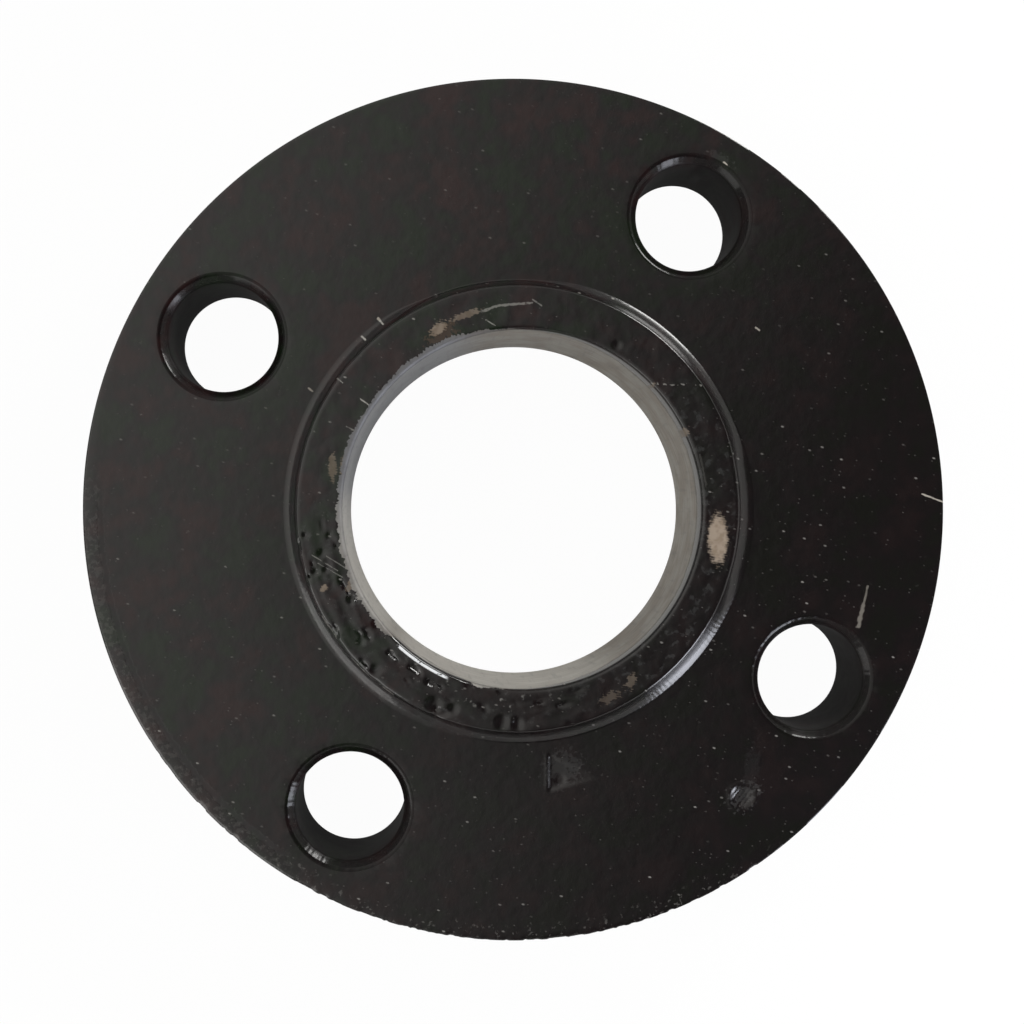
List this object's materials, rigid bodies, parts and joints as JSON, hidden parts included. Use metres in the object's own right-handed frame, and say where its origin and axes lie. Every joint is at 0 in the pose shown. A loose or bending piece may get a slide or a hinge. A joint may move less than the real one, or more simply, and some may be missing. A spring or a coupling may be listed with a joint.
{
  "type": "slip on flange",
  "caption": "Forged steel slip-on pipe flange: a round drilled plate with a short drafted hub, a plain bore for the pipe and a raised gasket face.",
  "frame": {"origin": "centre of the gasket face, on the bore's axis, at the underside", "axes": "+Z along the bore towards the hub; the bolt holes straddle X and Y at 45 degrees"},
  "size_m": [0.1524, 0.1524, 0.0254],
  "materials": {
    "flange": "satin black paint over forged steel, bore bare"
  },
  "bodies": {
    "root": {"flange": "flange"}
  },
  "joints": []
}
